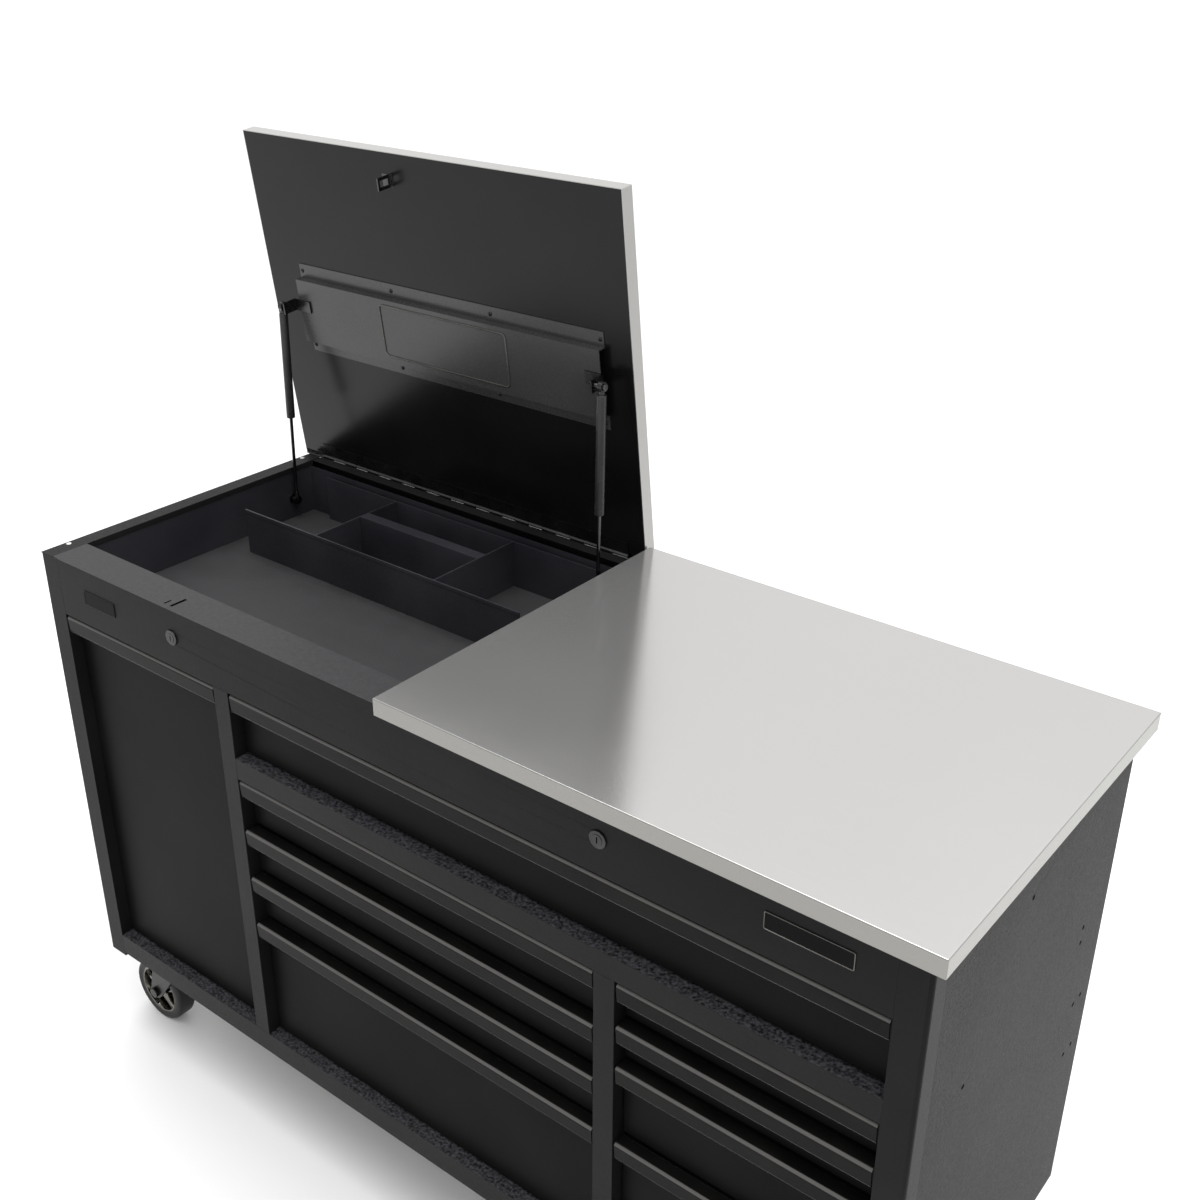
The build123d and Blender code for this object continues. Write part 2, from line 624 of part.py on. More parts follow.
def drawer_front(x, top, bottom):
    """Hollow drawer front, folded back on all four sides."""
    x = grow(x, -PANEL_GAP)
    y = (PANEL_Y, PANEL_Y + PANEL_T)
    z = (bottom, top - 2.5)
    return slab(x, y, z) - slab(grow(x, -SHEET), (y[0] + SHEET, y[1] + 1), grow(z, -SHEET))


def drawer_tray(x, top, bottom):
    """Open drawer box behind the front."""
    x = grow(x, -SLIDE_T)
    y = (PANEL_Y + PANEL_T - 1, DRAWER_BACK)
    low = bottom + BOX_LIFT
    z = (low, low + box_height(top, bottom))
    tray = slab(x, y, z) - slab(grow(x, -SHEET), grow(y, -SHEET), (low + SHEET, z[1] + 1))
    closing = slab(grow(x, 8), (y[0], y[0] + SHEET), (bottom + 0.5, top - 3))
    return tray + closing


def drawer_solids(x, top, bottom):
    """Drawer box with its front, and the two runners on its sides."""
    height = slide_height(top, bottom)
    middle = slide_middle(top, bottom)
    box = drawer_front(x, top, bottom) + drawer_tray(x, top, bottom)
    return [box,
            runner(x[0] + SLIDE_T, -1, height, middle),
            runner(x[1] - SLIDE_T, 1, height, middle)]


def pull_profile(top):
    """Section of the full-width pull: flange on the drawer front, roof, nose and lip."""
    def at(y, z):
        return (0, y, top + z)

    half = math.sqrt(0.5)
    nose = ThreePointArc(at(25, 0), at(25 - 5 * half, -5 + 5 * half), at(20, -5))
    lip = ThreePointArc(at(21.5, -25), at(22.8, -28.4), at(26, -30))
    lip_inner = ThreePointArc(at(26, -28), at(24.3, -27), at(23.5, -24.8))
    nose_inner = ThreePointArc(at(22, -5), at(25 - 3 * half, -5 + 3 * half), at(25, -2))
    outline = [nose,
               Line(at(20, -5), at(21.5, -25)),
               lip,
               Line(at(26, -30), at(26, -28)),
               lip_inner,
               Line(at(23.5, -24.8), at(22, -5)),
               nose_inner,
               Line(at(25, -2), at(PANEL_Y - 2, -2)),
               Line(at(PANEL_Y - 2, -2), at(PANEL_Y - 2, -14)),
               Line(at(PANEL_Y - 2, -14), at(PANEL_Y, -14)),
               Line(at(PANEL_Y, -14), at(PANEL_Y, 0)),
               Line(at(PANEL_Y, 0), at(25, 0))]
    return make_face(outline)


def drawer_pull(x, top):
    """Full-width pull along the top of a drawer front."""
    x = grow(x, -PULL_GAP)
    return Pos(x[0], 0, 0) * extrude(pull_profile(top), amount=x[1] - x[0], dir=(1, 0, 0))


# ---- casters ---------------------------------------------------------------------
def caster_places():
    """Name and swivel axis of each caster."""
    return [(f"caster_{row}_{side}", x, y)
            for row, y in zip(("front", "rear"), CASTER_Y)
            for side, x in (("left", -CASTER_X), ("right", CASTER_X))]


def bolt_places(x, y):
    """The four bolts of one caster plate."""
    return [(x + sx * BOLT_X, y + sy * BOLT_Y) for sx in (-1, 1) for sy in (-1, 1)]


def caster_plate(x, y):
    """Top plate of a caster, bored for the kingpin and for its bolts."""
    plate = slab((x - 52, x + 52), (y - 44, y + 44), PLATE_Z)
    plate = fillet(plate.edges().filter_by(Axis.Z), 8)
    plate -= rod_z(x, y, grow(PLATE_Z, 1), AXLE_R + RUN_FIT)
    for bx, by in bolt_places(x, y):
        plate -= rod_z(bx, by, grow(PLATE_Z, 1), 4.2)
    return plate


def caster_bolt(x, y):
    """Hexagon bolt head under the plate and its shank through it."""
    head = Pos(x, y, PLATE_Z[0] - 5) * extrude(RegularPolygon(7.5, 6), amount=5)
    return head + rod_z(x, y, (PLATE_Z[0] - 1, PLATE_Z[1]), 4.1)


def fork_leg(y):
    """One leg of the fork, in its plane, reaching back to the axle."""
    plane = Plane(origin=(0, y[0], 0), x_dir=(1, 0, 0), z_dir=(0, -1, 0))
    outline = Polyline((24, 140), (24, 122), (-20, 60), (-TRAIL + 2, 50), (-TRAIL - 11, 58),
                       (-TRAIL - 11, 76), (-30, 140), close=True)
    leg = extrude(plane * make_face(outline), amount=y[0] - y[1])
    return leg + rod_y(-TRAIL, y, WHEEL_R, 14)


def caster_fork(x, y):
    """Fork with its swivel head and kingpin, and the axle with its nuts."""
    reach = WHEEL_W / 2 + 2
    fork = slab((-30, 24), (-reach - 3, reach + 3), (136, 140))
    for leg in ((reach, reach + 3), (-reach - 3, -reach)):
        fork += fork_leg(leg)
    fork -= rod_y(-TRAIL, (-reach - 10, reach + 10), WHEEL_R, AXLE_R)
    fork += rod_z(0, 0, (140, 148), 26)
    fork += rod_z(0, 0, (148, FORK_TOP), 22)
    fork += rod_z(0, 0, (FORK_TOP - 2, PLATE_Z[1] - 0.3), AXLE_R)
    axle = rod_y(-TRAIL, (-reach - 5, reach + 5), WHEEL_R, AXLE_R)
    for end in ((-reach - 9, -reach - 3), (reach + 3, reach + 9)):
        axle += rod_y(-TRAIL, end, WHEEL_R, 9.5)
    return [Pos(x, y, 0) * fork, Pos(x, y, 0) * axle]


def caster_wheel(x, y):
    """Tyre, and a five-window hub that turns on the axle."""
    centre = x - TRAIL
    half = WHEEL_W / 2
    wide = (y - half, y + half)
    tyre = rod_y(centre, wide, WHEEL_R, WHEEL_R)
    tyre = fillet(tyre.edges().filter_by(GeomType.CIRCLE), 7)
    tyre -= rod_y(centre, grow(wide, 1), WHEEL_R, HUB_R)
    hub = rod_y(centre, grow(wide, -2), WHEEL_R, HUB_R)
    for end in ((y - half, y - 6), (y + 6, y + half)):
        hub -= rod_y(centre, end, WHEEL_R, HUB_R - 7)
    hub += rod_y(centre, wide, WHEEL_R, 15)
    for n in range(5):
        turn = math.radians(90 + 72 * n)
        hub -= rod_y(centre + 28 * math.cos(turn), wide, WHEEL_R + 28 * math.sin(turn), 8.5)
    hub -= rod_y(centre, grow(wide, 1), WHEEL_R, AXLE_R + RUN_FIT)
    return [tyre, hub]


# ---- every node ------------------------------------------------------------------
os.makedirs("parts", exist_ok=True)

save("left_side_panel", side_panel())
save("right_side_panel", right_side_panel())
save("back_panel", back_panel())
save("base_frame", base_pan(), caster_channel(), mirrored(caster_channel()))
save("corner_posts", corner_post(), right_post())
save("upper_front_panel", upper_front_panel())
save("front_frame",
     channel_bar((OPEN_L, OPEN_R), (BODY_BOTTOM, OPEN_BOTTOM)),
     channel_bar((MULLION_1[1], OPEN_R), MID_RAIL),
     channel_bar(MULLION_1, (OPEN_BOTTOM, OPEN_TOP), upright=True),
     channel_bar(MULLION_2, (OPEN_BOTTOM, MID_RAIL[0]), upright=True))
save("slide_supports", *slide_supports())
save("compartment_tub", compartment_tub())
save("compartment_mat", compartment_mat())
save("compartment_divider", *compartment_divider())
save("worktop_core", worktop_core())
save("worktop_skin", top_skin(WORKTOP_X, BODY_TOP))

save("lid_skin", opened(top_skin(LID_X, LID_UNDER)))
save("lid_inner_panel", opened(lid_inner_panel()))
save("lid_stiffener", opened(lid_stiffener()))
save("lid_hook", opened(lid_hook()))
save("hinge_fixed_leaf", hinge_fixed_leaf())
save("hinge_moving_leaf", opened(hinge_moving_leaf()))
save("hinge_pin", rod_x(HINGE_X, HINGE_Y, HINGE_Z, PIN_R))

save("strut_brackets", *[opened(strut_bracket(x)) for x in STRUT_X])
save("strut_studs", *[strut_stud(x) for x in STRUT_X])
for side, x in zip(("left", "right"), STRUT_X):
    save(f"{side}_strut_tube", strut_placed(strut_tube(), x))
    save(f"{side}_strut_rod", strut_placed(strut_rod(), x))

save("lock_housings", lock_housing(LID_LOCK_X), lock_housing(DRAWER_LOCK_X))
save("lid_lock_barrel", lid_lock_barrel())
save("drawer_lock_barrel", drawer_lock_barrel())

fixed_slides = []
for name, x, top, bottom in drawer_table():
    save(f"{name}_box", *drawer_solids(x, top, bottom))
    save(f"{name}_pull", drawer_pull(x, top))
    height = slide_height(top, bottom)
    middle = slide_middle(top, bottom)
    fixed_slides.append(slide_outer(x[0], -1, height, middle))
    fixed_slides.append(slide_outer(x[1], 1, height, middle))
save("slide_outer_members", *fixed_slides)

save("caster_plates", *[caster_plate(x, y) for _, x, y in caster_places()])
save("caster_bolts", *[caster_bolt(bx, by)
                       for _, x, y in caster_places() for bx, by in bolt_places(x, y)])
for name, x, y in caster_places():
    save(f"{name}_fork", *caster_fork(x, y))
    save(f"{name}_wheel", *caster_wheel(x, y))
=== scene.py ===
"""Looks of the rolling tool chest: materials for every CAD node, and the small trim that
the CAD model leaves out. Metres, in the CAD model's own frame."""

import json
import math

import bmesh
import bpy
from mathutils import Matrix, Vector


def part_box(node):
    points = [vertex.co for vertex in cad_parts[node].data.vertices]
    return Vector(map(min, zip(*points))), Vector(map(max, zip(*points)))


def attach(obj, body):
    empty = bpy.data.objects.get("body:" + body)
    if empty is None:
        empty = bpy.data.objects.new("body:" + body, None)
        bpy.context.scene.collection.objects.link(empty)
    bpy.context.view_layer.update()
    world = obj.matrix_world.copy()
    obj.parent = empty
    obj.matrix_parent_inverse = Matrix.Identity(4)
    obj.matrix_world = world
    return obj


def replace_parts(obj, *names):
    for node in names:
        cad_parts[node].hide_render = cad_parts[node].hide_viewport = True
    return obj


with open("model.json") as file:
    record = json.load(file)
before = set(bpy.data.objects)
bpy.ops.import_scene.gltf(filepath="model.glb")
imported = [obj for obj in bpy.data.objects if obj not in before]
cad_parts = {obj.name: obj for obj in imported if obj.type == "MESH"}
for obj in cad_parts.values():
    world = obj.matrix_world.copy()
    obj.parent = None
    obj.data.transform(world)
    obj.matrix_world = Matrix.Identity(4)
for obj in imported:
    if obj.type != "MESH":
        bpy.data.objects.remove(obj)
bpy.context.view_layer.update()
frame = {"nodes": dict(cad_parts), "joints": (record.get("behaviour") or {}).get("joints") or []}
nodes = frame["nodes"]
joints = {joint["name"]: joint for joint in frame["joints"]}

MM = 0.001

# ---- places taken from the frame --------------------------------------------------
LID_HINGE = Vector(joints["lid_hinge"]["pos_m"])
LID_OPEN = math.radians(joints["lid_hinge"]["range_deg"][1])
TOP_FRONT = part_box("worktop_skin")[0].y
PANEL_LOW, PANEL_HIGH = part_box("upper_front_panel")
RIM_Z = PANEL_HIGH.z
PANEL_FRONT = PANEL_LOW.y

# ---- trim sizes --------------------------------------------------------------------
LID_UNDER = 1 * MM          # gap between the rim and the closed lid
STIFFENER_FLANGE = 1.5 * MM
SCREW_S = (229 * MM, 364 * MM)             # screw rows, measured from the hinge
SCREW_X = (-0.712, -0.4975, -0.280, -0.063)
SCREW_R = 3.6 * MM
SCREW_RISE = 0.55           # a round head's height over its radius
LEAF_SCREW_X = (-0.700, -0.583, -0.466, -0.327, -0.188, -0.085)
LEAF_SCREW_S = 17 * MM
LEAF_SCREW_R = 3.2 * MM
LEAF_SCREW_RISE = 0.06      # almost flush, where the leaf folds shut
LEAF_SCREW_UP = 12 * MM     # above the fixed leaf's foot
LEAF_T = 1.1 * MM
OUTLINE_X = (-0.518, -0.240)               # the stiffener's raised outline
OUTLINE_S = (252 * MM, 344 * MM)
OUTLINE_LINE = 3 * MM
OUTLINE_R = 9 * MM
OUTLINE_DEPTH = 16 * MM     # its top, from the lid's underside
CREST_WIDTH = 0.8           # the bright crest's width over the line's
CREST_RISE = 0.6 * MM
CREST_SUNK = 0.1 * MM
PLATE_Z = (0.9150, 0.9395)  # badge and nameplate, low and high edge
PLATE_R = 2.5 * MM
PLATE_SUNK = 0.3 * MM       # into the panel
PLATE_SIDE = 1.1 * MM       # height of the rim's outer wall
PLATE_RISE = 1.5 * MM
PLATE_FLOOR = 0.9 * MM
PLATES = (                  # name, left and right edge, width and look of the rim
    ("left_badge", (-0.674, -0.596), 1.6 * MM, "cabinet"),
    ("right_nameplate", (0.580, 0.693), 1.0 * MM, "plate_rim"),
)
BUFFER_X = -0.7735
BUFFER_Y = (0.066, 0.560)   # rubber buffers on the side rim, behind the worktop's front

# ---- casters -----------------------------------------------------------------------
WHEEL_R = 63.3 * MM
WHEEL_HALF = 19 * MM
TREAD_CROWN = 0.15 * MM
SHOULDER_R = 7 * MM
SHOULDER_INSET = 0.3 * MM
TYRE_SIDE = 18.6 * MM       # half width at its flat side
TYRE_GROOVE = 1.2 * MM
HUB_R = 47.6 * MM
SPOKES = 5
SPOKE_CUT = 0.55            # where its section's corners are cut, over its half width

# ---- camera ------------------------------------------------------------------------
CAMERA_AT = Vector((1.21574, -1.39700, 1.94717))
CAMERA_YAW = 38.17          # degrees from +Y towards -X
CAMERA_PITCH = 26.24        # degrees down
CAMERA_ROLL = 0.29
CAMERA_LENS = 43.63
CAMERA_SHIFT = (0.00325, -0.00735)
CAMERA_SENSOR = 36
CAMERA_FAR = 200

# ---- studio ------------------------------------------------------------------------
FLOOR_HALF = 60
SKY_SIDE = (0.55, 0.83, 0)  # the bright side: behind the chest and to its right
SKY_TURN = (-0.75, -0.15)   # along SKY_SIDE, where dim turns to bright
SKY_DIM = 0.3
SKY_BRIGHT = 1.08
SKY_BAND = (0.12, 0.35)     # heights over which the horizon's even band fades
SKY_ABOVE = 0.5             # extra strength straight overhead
SKY_TINT = (1.0, 0.998, 0.995, 1)
LAMP_AT = (0.2, -0.2, 4.2)
LAMP_AIM = (0, 0, 0.5)
LAMP_SIZE = 3.5
LAMP_WATTS = 130


# ====================================================================================
# Materials
# ====================================================================================
class Painter:
    """One material, with short calls for its nodes."""

    def __init__(self, name):
        self.material = bpy.data.materials.new(name)
        self.material.use_nodes = True
        self.tree = self.material.node_tree
        self.shader = self.tree.nodes["Principled BSDF"]
        self.coords = self.tree.nodes.new("ShaderNodeTexCoord")

    def add(self, kind, **values):
        """A new node; values are its properties or, where it has no such property, inputs."""
        made = self.tree.nodes.new(kind)
        for key, value in values.items():
            if hasattr(made, key):
                setattr(made, key, value)
            else:
                made.inputs[key.replace("_", " ")].default_value = value
        return made

    def link(self, source, target):
        self.tree.links.new(source, target)

    def set(self, **values):
        """Sets sockets of the shader, with _ for a space."""
        for key, value in values.items():
            self.shader.inputs[key.replace("_", " ")].default_value = value

    def noise(self, scale, detail=2.0, roughness=0.5, stretch=(1, 1, 1)):
        """Noise in the object's own coordinates; scale is in features per metre."""
        mapping = self.add("ShaderNodeMapping")
        mapping.inputs["Scale"].default_value = stretch
        self.link(self.coords.outputs["Object"], mapping.inputs["Vector"])
        noise = self.add("ShaderNodeTexNoise", Scale=scale, Detail=detail, Roughness=roughness)
        self.link(mapping.outputs["Vector"], noise.inputs["Vector"])
        return noise.outputs["Fac"]

    def spread(self, source, low, high, from_low=0.3, from_high=0.7):
        """source's usual range spread over low to high."""
        spread = self.add("ShaderNodeMapRange")
        spread.inputs["From Min"].default_value = from_low
        spread.inputs["From Max"].default_value = from_high
        spread.inputs["To Min"].default_value = low
        spread.inputs["To Max"].default_value = high
        self.link(source, spread.inputs["Value"])
        return spread.outputs["Result"]

    def mix(self, factor, first, second):
        """Colour between first and second, each an RGB tuple or a socket."""
        mix = self.add("ShaderNodeMix", data_type="RGBA")
        self.link(factor, mix.inputs["Factor"])
        for socket, value in ((mix.inputs[6], first), (mix.inputs[7], second)):
            if isinstance(value, tuple):
                socket.default_value = (*value, 1)
            else:
                self.link(value, socket)
        return mix.outputs[2]

    def math(self, operation, first, second=0.0):
        """A math node; either side is a number or a socket."""
        made = self.add("ShaderNodeMath", operation=operation)
        for socket, value in zip(made.inputs, (first, second)):
            if isinstance(value, (int, float)):
                socket.default_value = value
            else:
                self.link(value, socket)
        return made.outputs[0]

    def bump(self, height, distance, strength=1.0):
        """Sends a height through a bump node to the shader's normal."""
        bump = self.add("ShaderNodeBump", Distance=distance, Strength=strength)
        self.link(height, bump.inputs["Height"])
        self.link(bump.outputs["Normal"], self.shader.inputs["Normal"])

    def colour(self, socket):
        self.link(socket, self.shader.inputs["Base Color"])

    def roughness(self, socket):
        self.link(socket, self.shader.inputs["Roughness"])


FACING = (0.6, 0.9)         # cosines between which a face begins to face a direction
PATCHES = 7                 # slow mottling, features per metre
COARSE_SCALE = 0.22         # coarse grain over fine, in scale and in height
COARSE_HEIGHT = 0.8
BRUSH_LINES = 1500          # per metre, across the brushing
BRUSH_STRETCH = (0.006, 1, 1)
BRUSH_ROUGH = (0.155, 0.18)
BRUSH_SMEARS = (-0.015, 0.015)
BRUSH_LEAN = 0.35           # how far the blur leans out of the sheet
DRAW_LINES = 900            # per metre, across an extrusion
DRAW_STRETCH = (0.01, 1, 1)
NOSE_FROM = (0.2, 0.45)     # slopes where an extrusion's rounded parts, which carry its painted highlight, begin and end
NOSE_TO = (0.9, 0.98)


def powder_coat(name, dark, light, grain, depth, rough=(0.36, 0.5), specular=0.35, painted_top_light=None,
                sparkle_range=(0.78, 1)):
    """Powder coat: fine orange-peel grain with a little mottling; the last two arguments give
    a painted highlight, the paler tone of faces that look up with painted sparkle, and how it
    varies."""
    paint = Painter(name)
    fine = paint.noise(1 / grain, detail=3, roughness=0.65)
    coarse = paint.noise(COARSE_SCALE / grain, detail=2)
    patches = paint.noise(PATCHES)
    height = paint.math("ADD", fine, paint.math("MULTIPLY", coarse, COARSE_HEIGHT))
    paint.bump(height, depth)
    tone = paint.mix(paint.spread(patches, 0, 1), dark, light)
    # Painted highlight: faces that look up get a paler tone, speckled with painted sparkle that
    # follows the coarse grain.
    if painted_top_light:
        upward = paint.add("ShaderNodeSeparateXYZ")
        paint.link(paint.coords.outputs["Normal"], upward.inputs["Vector"])
        painted_sparkle = paint.spread(coarse, *sparkle_range)
        looking_up = paint.spread(upward.outputs["Z"], 0, 1, *FACING)
        tone = paint.mix(paint.math("MULTIPLY", looking_up, painted_sparkle), tone, painted_top_light)
    paint.colour(tone)
    paint.roughness(paint.spread(fine, *rough))
    paint.set(Specular_IOR_Level=specular)
    return paint.material


def brushed_steel(name, face_normal, face, band):
    """Stainless sheet brushed along X, so that it blurs across the lines, towards the front;
    its edge bands get a darker colour, which is painted shade."""
    steel = Painter(name)
    lines = steel.noise(BRUSH_LINES, detail=3, roughness=0.7, stretch=BRUSH_STRETCH)
    smears = steel.noise(3, detail=2)
    towards = steel.add("ShaderNodeVectorMath", operation="DOT_PRODUCT")
    towards.inputs[1].default_value = face_normal
    steel.link(steel.coords.outputs["Normal"], towards.inputs[0])
    on_face = steel.spread(towards.outputs["Value"], 0, 1, *FACING)
    # Painted shade: faces turned away from the sheet's face normal take the darker band colour.
    painted_band_shade = steel.mix(on_face, band, face)
    darker = steel.mix(steel.spread(lines, 0, 1), (0.95, 0.95, 0.95), (1, 1, 1))
    shade = steel.add("ShaderNodeMix", data_type="RGBA", blend_type="MULTIPLY")
    shade.inputs["Factor"].default_value = 1
    steel.link(painted_band_shade, shade.inputs[6])
    steel.link(darker, shade.inputs[7])
    steel.colour(shade.outputs[2])
    steel.roughness(steel.math("ADD", steel.spread(lines, *BRUSH_ROUGH),
                               steel.spread(smears, *BRUSH_SMEARS)))
    steel.bump(lines, 0.000003, 0.3)
    steel.set(Metallic=0.8, Anisotropic=0.9)
    normal = Vector(face_normal)
    blur = normal.cross(Vector((1, 0, 0))) + BRUSH_LEAN * normal
    across = steel.add("ShaderNodeCombineXYZ", X=blur.x, Y=blur.y, Z=blur.z)
    steel.link(across.outputs["Vector"], steel.shader.inputs["Tangent"])
    return steel.material


def plated(name, dark, light, rough, grain=25, metallic=1.0):
    """Plated or satin metal with soft clouds in its colour and polish."""
    metal = Painter(name)
    clouds = metal.noise(grain, detail=3)
    fine = metal.noise(900, detail=2)
    metal.colour(metal.mix(metal.spread(clouds, 0, 1), dark, light))
    metal.roughness(metal.spread(clouds, *rough))
    metal.bump(fine, 0.000004, 0.4)
    metal.set(Metallic=metallic)
    return metal.material


def rubber(name, dark, light, grain, depth, rough=(0.6, 0.8)):
    """Matt rubber with a pebbled surface."""
    mat = Painter(name)
    pebbles = mat.add("ShaderNodeTexVoronoi", Scale=1 / grain)
    mat.link(mat.coords.outputs["Object"], pebbles.inputs["Vector"])
    dust = mat.noise(9, detail=3)
    mat.bump(pebbles.outputs["Distance"], depth)
    mat.colour(mat.mix(mat.spread(dust, 0, 1), dark, light))
    mat.roughness(mat.spread(dust, *rough))
    mat.set(Specular_IOR_Level=0.4)
    return mat.material


def extrusion(name, dark, light, nose_highlight):
    """Dark anodised extrusion: faint draw lines along X, with a painted highlight, a lighter
    colour, on its round nose and lip, dark on its face and roof."""
    metal = Painter(name)
    lines = metal.noise(DRAW_LINES, detail=2, roughness=0.6, stretch=DRAW_STRETCH)
    clouds = metal.noise(12)
    upward = metal.add("ShaderNodeSeparateXYZ")
    metal.link(metal.coords.outputs["Normal"], upward.inputs["Vector"])
    tilt = metal.math("ABSOLUTE", upward.outputs["Z"])
    rounded = metal.math("SUBTRACT", metal.spread(tilt, 0, 1, *NOSE_FROM),
                         metal.spread(tilt, 0, 1, *NOSE_TO))
    face = metal.mix(metal.spread(clouds, 0, 1), dark, light)
    # Painted highlight: the lighter colour on the round nose and lip.
    metal.colour(metal.mix(rounded, face, nose_highlight))
    metal.roughness(metal.spread(lines, 0.20, 0.28))
    metal.bump(lines, 0.000006, 0.4)
    metal.set(Specular_IOR_Level=0.05)
    return metal.material


def board(name):
    """Particle board, seen only under the worktop's overhang."""
    wood = Painter(name)
    chips = wood.add("ShaderNodeTexVoronoi", Scale=260.0)
    wood.link(wood.coords.outputs["Object"], chips.inputs["Vector"])
    fibres = wood.noise(60, detail=4, stretch=(1, 3, 1))
    wood.colour(wood.mix(wood.spread(fibres, 0, 1), (0.30, 0.20, 0.11), (0.46, 0.33, 0.20)))
    wood.roughness(wood.spread(fibres, 0.7, 0.9))
    wood.bump(chips.outputs["Distance"], 0.0003)
    return wood.material


lid_normal = (0, math.sin(LID_OPEN), math.cos(LID_OPEN))
STEEL_FACE = (0.44, 0.435, 0.43)
# Darker colours of the edge bands, painted shade, different for the worktop and the lid.
STEEL_SHADED_BAND = (0.27, 0.265, 0.25)
LID_SHADED_BAND = (0.38, 0.375, 0.365)

looks = {
    # cabinet and frame take a paler tone on faces that look up, a painted highlight on their
    # ledges.
    "cabinet": powder_coat("cabinet_coat", (0.006, 0.006, 0.0062), (0.009, 0.0089, 0.0088),
                           1.6 * MM, 0.00020, specular=0.08, painted_top_light=(0.040, 0.040, 0.042)),
    "frame": powder_coat("frame_coat", (0.006, 0.006, 0.0062), (0.009, 0.0089, 0.0088),
                         0.9 * MM, 0.00030, specular=0.10, painted_top_light=(0.068, 0.066, 0.075),
                         sparkle_range=(-0.1, 1)),
    "side": powder_coat("side_coat", (0.007, 0.0068, 0.0069), (0.012, 0.0117, 0.0117),
                        2.0 * MM, 0.00040, rough=(0.42, 0.6), specular=0.10),
    "front": powder_coat("front_coat", (0.0035, 0.0035, 0.0036), (0.006, 0.0058, 0.0056),
                         1.3 * MM, 0.00010, rough=(0.34, 0.46), specular=0.04),
    "inside": powder_coat("inside_coat", (0.014, 0.0135, 0.0175), (0.025, 0.0243, 0.0295),
                          1.8 * MM, 0.00035, specular=0.3),
    "lid_paint": powder_coat("lid_coat", (0.003, 0.003, 0.0032), (0.005, 0.0049, 0.0052),
                             1.1 * MM, 0.00004, rough=(0.20, 0.28), specular=0.23),
    "stiffener": powder_coat("stiffener_coat", (0.024, 0.0237, 0.0242), (0.034, 0.0336, 0.034),
                             1.1 * MM, 0.00003, rough=(0.22, 0.30), specular=0.55),
    "under": powder_coat("chassis_coat", (0.010, 0.010, 0.010), (0.015, 0.015, 0.015),
                         1.8 * MM, 0.0002, specular=0.2),
    "worktop_steel": brushed_steel("worktop_steel", (0, 0, 1), STEEL_FACE, STEEL_SHADED_BAND),
    "lid_steel": brushed_steel("lid_steel", lid_normal, STEEL_FACE, LID_SHADED_BAND),
    # The third colour is the pulls' painted highlight.
    "pull": extrusion("pull_anodised", (0.004, 0.0039, 0.0039), (0.008, 0.0076, 0.0072),
                      (0.10, 0.098, 0.094)),
    "mat": rubber("mat_rubber", (0.016, 0.016, 0.0175), (0.023, 0.0225, 0.0245), 2.2 * MM, 0.0002),
    "tyre": rubber("tyre_rubber", (0.006, 0.006, 0.006), (0.011, 0.011, 0.0105), 1.2 * MM,
                   0.00006, rough=(0.45, 0.6)),
    "buffer": rubber("buffer_rubber", (0.55, 0.55, 0.53), (0.66, 0.66, 0.64), 1.0 * MM, 0.00003,
                     rough=(0.35, 0.5)),
    "board": board("worktop_board"),
    "zinc": plated("zinc_plate", (0.42, 0.43, 0.45), (0.55, 0.56, 0.58), (0.28, 0.42)),
    "hinge": plated("hinge_steel", (0.055, 0.055, 0.057), (0.085, 0.085, 0.087), (0.24, 0.32)),
    "strut": plated("strut_black", (0.020, 0.020, 0.021), (0.026, 0.026, 0.027), (0.24, 0.30),
                    metallic=0.4),
    "rod": plated("rod_steel", (0.10, 0.10, 0.105), (0.14, 0.14, 0.14), (0.14, 0.20)),
    "fitting": plated("fitting_steel", (0.06, 0.06, 0.062), (0.10, 0.10, 0.10), (0.2, 0.32)),
    "chrome": plated("lock_chrome", (0.035, 0.035, 0.037), (0.06, 0.06, 0.06), (0.12, 0.20)),
    "hub": plated("hub_chrome", (0.085, 0.082, 0.074), (0.20, 0.192, 0.172), (0.05, 0.12)),
    "fork": plated("fork_steel", (0.028, 0.028, 0.028), (0.048, 0.047, 0.046), (0.26, 0.38)),
    "screw": plated("screw_black", (0.012, 0.012, 0.0125), (0.02, 0.02, 0.02), (0.25, 0.4),
                    metallic=0.7),
    "plate_rim": plated("plate_rim", (0.085, 0.082, 0.076), (0.12, 0.116, 0.108), (0.2, 0.34)),
}

# CAD nodes of each look, and the width of the rounding on their sheet edges; boxes, pulls
# and forks are found by their names, below.
BY_LOOK = {
    "cabinet": (("corner_posts", "upper_front_panel"), 0.5 * MM),
    "frame": (("front_frame",), 0.5 * MM),
    "side": (("left_side_panel", "right_side_panel", "back_panel"), 0.5 * MM),
    "inside": (("compartment_tub", "compartment_divider"), 0.4 * MM),
    "under": (("base_frame", "slide_supports"), 0.4 * MM),
    "mat": (("compartment_mat",), 0.8 * MM),
    "board": (("worktop_core",), 0.3 * MM),
    "worktop_steel": (("worktop_skin",), 0),
    "lid_steel": (("lid_skin",), 0),
    "lid_paint": (("lid_inner_panel",), 0.7 * MM),
    "stiffener": (("lid_stiffener",), 0),
    "hinge": (("hinge_fixed_leaf", "hinge_moving_leaf", "hinge_pin"), 0),
    "fitting": (("strut_brackets", "strut_studs", "lid_hook"), 0.4 * MM),
    "strut": (("left_strut_tube", "right_strut_tube"), 0),
    "rod": (("left_strut_rod", "right_strut_rod"), 0),
    "chrome": (("lock_housings", "lid_lock_barrel", "drawer_lock_barrel"), 0.2 * MM),
    "zinc": (("slide_outer_members", "caster_bolts"), 0.2 * MM),
    "fork": (("caster_plates",), 0.4 * MM),
}


